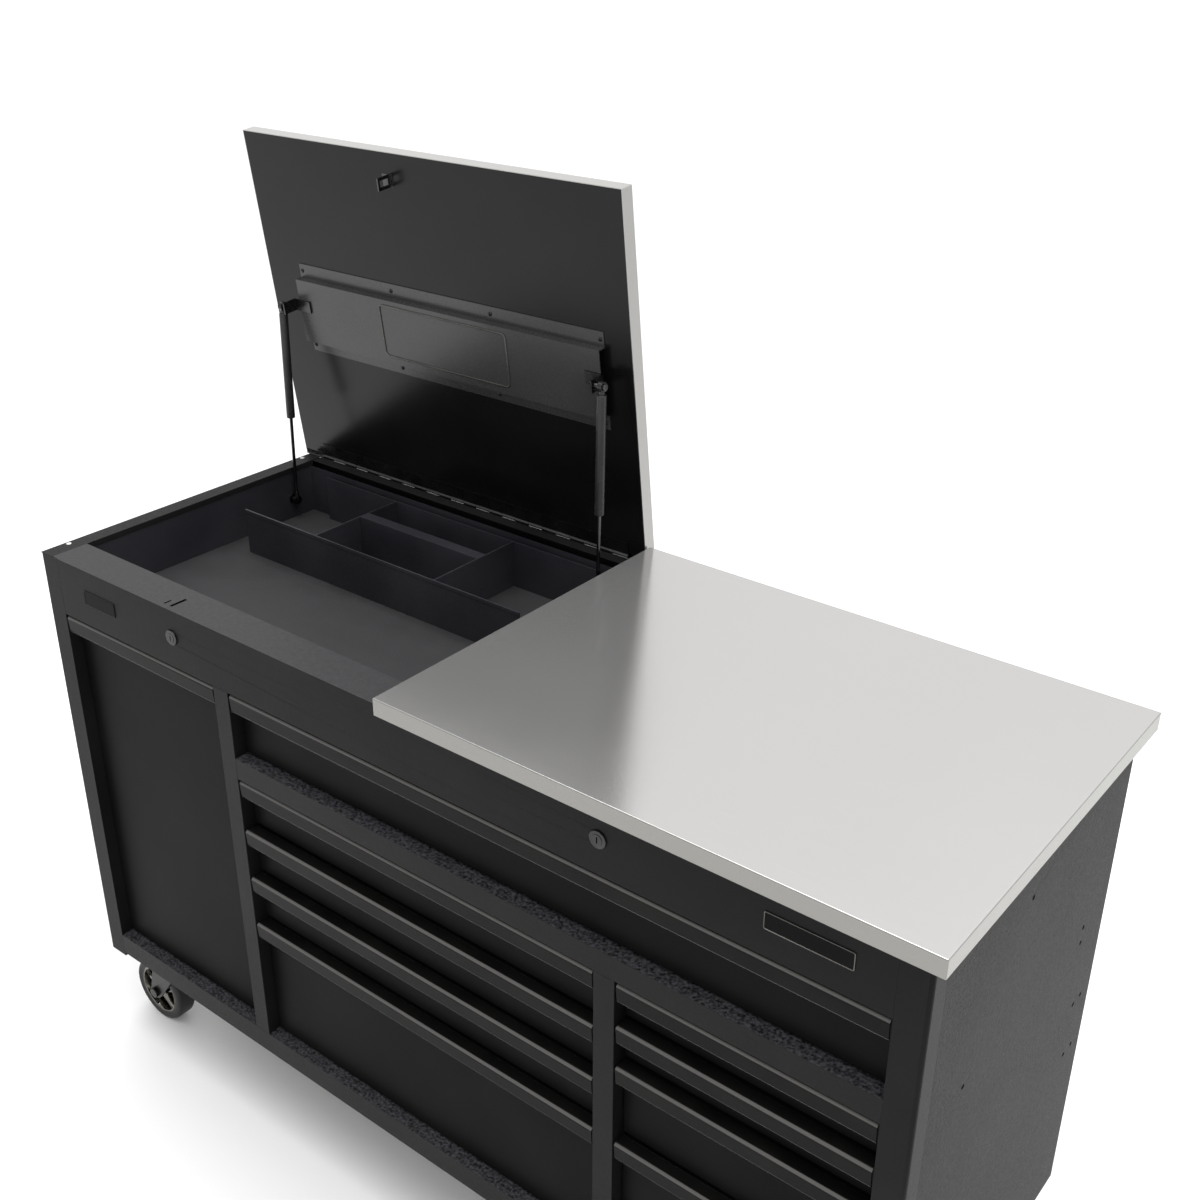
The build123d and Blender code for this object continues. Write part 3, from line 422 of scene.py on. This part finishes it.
def soften(obj, width):
    """Rounds a CAD node's sheet edges so that they catch the light."""
    weld = obj.modifiers.new("weld", "WELD")
    weld.merge_threshold = 0.00001
    bevel = obj.modifiers.new("bevel", "BEVEL")
    bevel.width = width
    bevel.segments = 2
    bevel.limit_method = "ANGLE"
    bevel.angle_limit = math.radians(35)
    bevel.use_clamp_overlap = True


def finish_node(name, look, width):
    """Gives a CAD node its material and its rounded edges."""
    nodes[name].data.materials.clear()
    nodes[name].data.materials.append(looks[look])
    if width:
        soften(nodes[name], width)


for look, (names, width) in BY_LOOK.items():
    for name in names:
        finish_node(name, look, width)
for name in nodes:
    if name.endswith("_box"):
        finish_node(name, "front", 0.5 * MM)
    elif name.endswith("_pull"):
        finish_node(name, "pull", 0.35 * MM)
    elif name.endswith("_fork"):
        finish_node(name, "fork", 0.4 * MM)


# ====================================================================================
# Trim built here
# ====================================================================================
def piece(name, mesh, look, body):
    """A new smooth-shaded object from a bmesh, riding on a CAD body."""
    data = bpy.data.meshes.new(name)
    bmesh.ops.recalc_face_normals(mesh, faces=mesh.faces)
    mesh.to_mesh(data)
    mesh.free()
    obj = bpy.data.objects.new(name, data)
    bpy.context.scene.collection.objects.link(obj)
    data.materials.append(looks[look])
    for polygon in data.polygons:
        polygon.use_smooth = True
    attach(obj, body)
    return obj


def sharpen(obj, degrees=32):
    """Marks the sharp edges of a smooth-shaded piece."""
    obj.data.set_sharp_from_angle(angle=math.radians(degrees))


def circle(mesh, radius, height, place, steps):
    """New vertices round the +Z axis of place."""
    ring = []
    for step in range(steps):
        turn = 2 * math.pi * step / steps
        point = Vector((radius * math.cos(turn), radius * math.sin(turn), height))
        ring.append(mesh.verts.new(place @ point))
    return ring


def skin(mesh, pairs):
    """Adds the faces between each pair of rings, which have equal lengths."""
    for first, second in pairs:
        for step in range(len(first)):
            after = (step + 1) % len(first)
            mesh.faces.new((first[step], first[after], second[after], second[step]))


def skin_capped(mesh, rings):
    """Adds the faces along the rings, and one at each end."""
    skin(mesh, zip(rings, rings[1:]))
    mesh.faces.new(list(reversed(rings[0])))
    mesh.faces.new(rings[-1])


def skin_round(mesh, rings):
    """Adds the faces along the rings, and from the last ring back to the first."""
    skin(mesh, zip(rings, rings[1:] + rings[:1]))


def lathe(mesh, profile, place, steps):
    """Adds a turned shape: profile is (radius, height) pairs, place maps its axis +Z."""
    rings = []
    for radius, height in profile:
        if radius == 0:
            rings.append([mesh.verts.new(place @ Vector((0, 0, height)))])
        else:
            rings.append(circle(mesh, radius, height, place, steps))
    for first, second in zip(rings, rings[1:]):
        for step in range(steps):
            after = (step + 1) % steps
            if len(first) == 1:
                mesh.faces.new((first[0], second[step], second[after]))
            elif len(second) == 1:
                mesh.faces.new((first[step], first[after], second[0]))
            else:
                mesh.faces.new((first[step], first[after], second[after], second[step]))


def ring_lathe(mesh, profile, place, steps):
    """Adds a turned ring: as lathe, but the profile closes on itself."""
    skin_round(mesh, [circle(mesh, radius, height, place, steps) for radius, height in profile])


def facing(at, normal):
    """A matrix at a point whose +Z is the normal and whose first axis is close to X."""
    up = Vector(normal).normalized()
    side = Vector((1, 0, 0)).cross(up).normalized()
    matrix = Matrix((side.cross(up) * -1, side, up)).transposed().to_4x4()
    matrix.translation = Vector(at)
    return matrix


def on_lid(x, s, below):
    """A point of the open lid: s from the hinge and below the plane through the hinge."""
    closed = Vector((x, -s, -below))
    return LID_HINGE + Matrix.Rotation(-LID_OPEN, 3, "X") @ closed


LID_DOWN = Matrix.Rotation(-LID_OPEN, 3, "X") @ Vector((0, 0, -1))


def screw_head(mesh, at, normal, radius=SCREW_R, rise=SCREW_RISE):
    """Domed head with a recess; rise is its height over its radius."""
    place = facing(at, normal)
    high = radius * rise
    profile = [(0, -0.3 * high), (radius, -0.3 * high), (radius, high * 0.2)]
    facets, dome = 4, 72    # the dome's profile, in degrees
    for step in range(1, facets + 1):
        turn = math.radians(dome * step / facets)
        profile.append((radius * math.cos(turn), high * (0.2 + 0.8 * math.sin(turn))))
    profile.append((radius * 0.26, high * 0.98))
    profile.append((radius * 0.20, high * 0.35))
    profile.append((0, high * 0.3))
    lathe(mesh, profile, place, 24)


def rounded_rectangle(x, y, radius, steps=6):
    """Points round a rectangle with rounded corners, from (low, high) pairs."""
    points = []
    corners = ((x[1] - radius, y[1] - radius, 0), (x[0] + radius, y[1] - radius, 90),
               (x[0] + radius, y[0] + radius, 180), (x[1] - radius, y[0] + radius, 270))
    for cx, cy, start in corners:
        for step in range(steps + 1):
            turn = math.radians(start + 90 * step / steps)
            points.append((cx + radius * math.cos(turn), cy + radius * math.sin(turn)))
    return points


def stacked(mesh, outlines, place):
    """Adds a closed shape through outlines of equal length, each (points, height)."""
    rings = []
    for points, height in outlines:
        rings.append([mesh.verts.new(place @ Vector((px, py, height))) for px, py in points])
    skin_capped(mesh, rings)


def stiffener_screws():
    """The eight screws that hold the lid's stiffener."""
    mesh = bmesh.new()
    for s in SCREW_S:
        for x in SCREW_X:
            at = on_lid(x, s, -LID_UNDER + STIFFENER_FLANGE)
            screw_head(mesh, at, LID_DOWN)
    sharpen(piece("stiffener_screws", mesh, "screw", "lid"))


def leaf_screws():
    """Screws through the hinge's moving leaf, and those of the fixed leaf on the back."""
    mesh = bmesh.new()
    for x in LEAF_SCREW_X:
        screw_head(mesh, on_lid(x, LEAF_SCREW_S, -LID_UNDER + LEAF_T), LID_DOWN,
                   LEAF_SCREW_R, LEAF_SCREW_RISE)
    sharpen(piece("moving_leaf_screws", mesh, "screw", "lid"))

    mesh = bmesh.new()
    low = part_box("hinge_fixed_leaf")[0]
    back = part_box("back_panel")[1].y + LEAF_T
    for x in LEAF_SCREW_X:
        screw_head(mesh, (x, back, low.z + LEAF_SCREW_UP), (0, 1, 0), LEAF_SCREW_R)
    sharpen(piece("fixed_leaf_screws", mesh, "screw", "chest"))


def outline_bead():
    """Half-round crest on the stiffener's raised outline, in bright plate metal as a painted
    highlight.
    """
    middle = ((OUTLINE_X[0] + OUTLINE_X[1]) / 2, (OUTLINE_S[0] + OUTLINE_S[1]) / 2)
    half_x = (OUTLINE_X[1] - OUTLINE_X[0]) / 2
    half_s = (OUTLINE_S[1] - OUTLINE_S[0]) / 2
    place = facing(on_lid(middle[0], middle[1], -LID_UNDER + OUTLINE_DEPTH), LID_DOWN)
    mesh = bmesh.new()
    rings = []
    facets = 8
    for step in range(facets + 1):
        turn = math.pi * step / facets
        by = OUTLINE_LINE / 2 * (1 - CREST_WIDTH * math.cos(turn))
        points = rounded_rectangle((-half_x + by, half_x - by), (-half_s + by, half_s - by),
                                   OUTLINE_R - by)
        high = CREST_RISE * math.sin(turn) - CREST_SUNK
        rings.append([mesh.verts.new(place @ Vector((px, py, high))) for px, py in points])
    skin_round(mesh, rings)
    # The crest's bright plate_rim metal is a painted highlight on the painted stiffener's raised
    # outline.
    sharpen(piece("outline_bead", mesh, "plate_rim", "lid"), 60)


def side_buffers():
    """Two small buffers on the left rim that the closed lid rests against."""
    mesh = bmesh.new()
    for y in BUFFER_Y:
        place = facing((BUFFER_X, TOP_FRONT + y, RIM_Z), (0, 0, 1))
        profile = [(0, -0.4 * MM), (4.2 * MM, -0.4 * MM), (4.2 * MM, 0.15 * MM),
                   (3.4 * MM, 0.5 * MM), (2.0 * MM, 0.75 * MM), (0, 0.85 * MM)]
        lathe(mesh, profile, place, 24)
    piece("rim_buffers", mesh, "buffer", "chest")


def plate_outline(x, by):
    """Points round a plate between two edges in x, by inside its own edge."""
    half_x = (x[1] - x[0]) / 2
    half_z = (PLATE_Z[1] - PLATE_Z[0]) / 2
    return rounded_rectangle((-half_x + by, half_x - by), (-half_z + by, half_z - by),
                             PLATE_R - by / 2)


def name_plates():
    """A plain badge at the left and a plain nameplate at the right of the front panel."""
    for name, x, inset, rim_look in PLATES:
        middle = Vector(((x[0] + x[1]) / 2, PANEL_FRONT, (PLATE_Z[0] + PLATE_Z[1]) / 2))
        place = facing(middle, (0, -1, 0))
        edge = plate_outline(x, 0)
        rim = bmesh.new()
        stacked(rim, [(edge, -PLATE_SUNK), (edge, PLATE_SIDE),
                      (plate_outline(x, 0.5 * MM), PLATE_RISE),
                      (plate_outline(x, inset), PLATE_RISE),
                      (plate_outline(x, inset + 0.4 * MM), PLATE_FLOOR)], place)
        sharpen(piece(name + "_rim", rim, rim_look, "chest"))
        edge = plate_outline(x, inset + 0.5 * MM)
        field = bmesh.new()
        stacked(field, [(edge, 0.5 * MM), (edge, 1.0 * MM),
                        (plate_outline(x, inset + 0.9 * MM), 1.2 * MM)], place)
        sharpen(piece(name + "_field", field, "front", "chest"), 12)


def wheel_places():
    """Name and centre of each caster wheel, whose body has the same name."""
    found = []
    for name in nodes:
        if name.endswith("_wheel"):
            low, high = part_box(name)
            found.append((name, (low + high) / 2))
    return sorted(found)


def tyre(name, place):
    """Tyre with rounded shoulders and a shallow line at each side."""
    profile = [(HUB_R, -17 * MM), (HUB_R + 3 * MM, -17.6 * MM), (HUB_R + 6 * MM, -TYRE_SIDE),
               (HUB_R + 6.6 * MM, -TYRE_SIDE + TYRE_GROOVE / 2), (HUB_R + 7.4 * MM, -TYRE_SIDE)]
    facets = 6
    for step in range(facets + 1):
        turn = math.radians(90 * step / facets)
        profile.append((WHEEL_R - SHOULDER_R + SHOULDER_R * math.sin(turn),
                        -WHEEL_HALF + SHOULDER_INSET + SHOULDER_R * (1 - math.cos(turn))))
    half = [(r, -h) for r, h in reversed(profile)]
    mesh = bmesh.new()
    ring_lathe(mesh, profile + [(WHEEL_R + TREAD_CROWN, 0)] + half, place, 96)
    obj = piece(name.replace("_wheel", "_tyre"), mesh, "tyre", name)
    sharpen(obj, 50)
    return obj


def hub(name, place):
    """Polished hub: a rim, five raised spokes and a boss."""
    mesh = bmesh.new()
    rim = [(HUB_R + 0.3 * MM, -16.8 * MM), (HUB_R - 1.2 * MM, -17.6 * MM),
           (HUB_R - 3.5 * MM, -16.6 * MM), (HUB_R - 6 * MM, -9 * MM), (HUB_R - 6.6 * MM, 0),
           (HUB_R - 6 * MM, 9 * MM), (HUB_R - 3.5 * MM, 16.6 * MM),
           (HUB_R - 1.2 * MM, 17.6 * MM), (HUB_R + 0.3 * MM, 16.8 * MM)]
    ring_lathe(mesh, rim, place, 96)
    boss = [(6.4 * MM, -18.8 * MM), (10 * MM, -18.8 * MM), (11 * MM, -17.8 * MM),
            (11 * MM, -15 * MM), (14.5 * MM, -12.5 * MM), (15 * MM, 0),
            (14.5 * MM, 12.5 * MM), (11 * MM, 15 * MM), (11 * MM, 17.8 * MM),
            (10 * MM, 18.8 * MM), (6.4 * MM, 18.8 * MM)]
    ring_lathe(mesh, boss, place, 64)
    # along a spoke: distance from the axle, half its width, half its thickness
    stations = ((12 * MM, 8.0 * MM, 13.5 * MM), (20 * MM, 6.2 * MM, 13.0 * MM),
                (30 * MM, 5.0 * MM, 12.0 * MM), (38 * MM, 5.6 * MM, 11.5 * MM),
                (HUB_R - 4 * MM, 7.5 * MM, 11.0 * MM))
    for spoke in range(SPOKES):
        turn = Matrix.Rotation(math.radians(90 + 360 * spoke / SPOKES), 4, "Z")
        rings = []
        for out, half_w, half_t in stations:
            cut_w, cut_t = half_w * SPOKE_CUT, half_t * SPOKE_CUT
            section = ((-half_w, -cut_t), (-cut_w, -half_t), (cut_w, -half_t),
                       (half_w, -cut_t), (half_w, cut_t), (cut_w, half_t),
                       (-cut_w, half_t), (-half_w, cut_t))
            rings.append([mesh.verts.new(place @ turn @ Vector((out, w, t))) for w, t in section])
        skin_capped(mesh, rings)
    sharpen(piece(name.replace("_wheel", "_hub"), mesh, "hub", name), 28)


def wheels():
    """The four wheels, each a tyre that takes the CAD wheel's place and a hub."""
    for name, centre in wheel_places():
        place = facing(centre, (0, 1, 0))
        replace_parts(tyre(name, place), name)
        hub(name, place)


stiffener_screws()
leaf_screws()
outline_bead()
side_buffers()
name_plates()
wheels()


# ====================================================================================
# Studio
# ====================================================================================
def floor():
    """A wide plain floor."""
    mesh = bmesh.new()
    bmesh.ops.create_grid(mesh, x_segments=4, y_segments=4, size=FLOOR_HALF)
    data = bpy.data.meshes.new("floor")
    mesh.to_mesh(data)
    mesh.free()
    obj = bpy.data.objects.new("floor", data)
    bpy.context.scene.collection.objects.link(obj)
    pale = Painter("floor_pale")
    clouds = pale.noise(0.6, detail=2)
    pale.colour(pale.mix(clouds, (0.88, 0.88, 0.88), (0.89, 0.89, 0.89)))
    pale.set(Roughness=0.9, Specular_IOR_Level=0.1)
    data.materials.append(pale.material)


def sky():
    """Soft studio surroundings: brightest overhead, behind and right, dim in front, and
    an even band along the horizon."""
    world = bpy.data.worlds.new("studio")
    bpy.context.scene.world = world
    world.use_nodes = True
    tree = world.node_tree
    background = tree.nodes["Background"]

    def ramp(source, reach, levels):
        """source between the two values of reach, turned into the two levels."""
        made = tree.nodes.new("ShaderNodeMapRange")
        for key, value in zip(("From Min", "From Max", "To Min", "To Max"), reach + levels):
            made.inputs[key].default_value = value
        tree.links.new(source, made.inputs["Value"])
        return made

    coords = tree.nodes.new("ShaderNodeTexCoord")
    split = tree.nodes.new("ShaderNodeSeparateXYZ")
    tree.links.new(coords.outputs["Generated"], split.inputs["Vector"])
    towards = tree.nodes.new("ShaderNodeVectorMath")
    towards.operation = "DOT_PRODUCT"
    towards.inputs[1].default_value = SKY_SIDE
    tree.links.new(coords.outputs["Generated"], towards.inputs[0])
    behind = ramp(towards.outputs["Value"], SKY_TURN, (SKY_DIM, SKY_BRIGHT))
    behind.interpolation_type = "SMOOTHSTEP"
    low = ramp(split.outputs["Z"], SKY_BAND, (SKY_BRIGHT, 0))
    level = tree.nodes.new("ShaderNodeMath")
    level.operation = "MAXIMUM"
    tree.links.new(behind.outputs["Result"], level.inputs[0])
    tree.links.new(low.outputs["Result"], level.inputs[1])
    above = tree.nodes.new("ShaderNodeMath")
    above.operation = "MULTIPLY_ADD"
    above.inputs[1].default_value = SKY_ABOVE
    tree.links.new(split.outputs["Z"], above.inputs[0])
    tree.links.new(level.outputs["Value"], above.inputs[2])
    tree.links.new(above.outputs["Value"], background.inputs["Strength"])
    background.inputs["Color"].default_value = SKY_TINT


def softbox(name, at, aim, size, watts):
    """A square area light pointed at a place."""
    data = bpy.data.lights.new(name, "AREA")
    data.shape = "SQUARE"
    data.size = size
    data.energy = watts
    obj = bpy.data.objects.new(name, data)
    bpy.context.scene.collection.objects.link(obj)
    obj.location = at
    direction = Vector(aim) - Vector(at)
    obj.rotation_euler = direction.to_track_quat("-Z", "Y").to_euler()


def camera():
    """The photograph's camera."""
    yaw = math.radians(CAMERA_YAW)
    pitch = math.radians(CAMERA_PITCH)
    roll = math.radians(CAMERA_ROLL)
    ahead = Vector((-math.sin(yaw) * math.cos(pitch), math.cos(yaw) * math.cos(pitch),
                    -math.sin(pitch)))
    level = Vector((math.cos(yaw), math.sin(yaw), 0))
    upright = level.cross(ahead)
    right = level * math.cos(roll) + upright * math.sin(roll)
    up = upright * math.cos(roll) - level * math.sin(roll)
    data = bpy.data.cameras.new("camera")
    data.lens = CAMERA_LENS
    data.sensor_width = CAMERA_SENSOR
    data.shift_x, data.shift_y = CAMERA_SHIFT
    data.clip_end = CAMERA_FAR
    obj = bpy.data.objects.new("camera", data)
    bpy.context.scene.collection.objects.link(obj)
    matrix = Matrix((right, up, -ahead)).transposed().to_4x4()
    matrix.translation = CAMERA_AT
    obj.matrix_world = matrix
    bpy.context.scene.camera = obj


floor()
sky()
softbox("overhead", LAMP_AT, LAMP_AIM, LAMP_SIZE, LAMP_WATTS)
camera()
bpy.context.scene.view_settings.view_transform = "Standard"
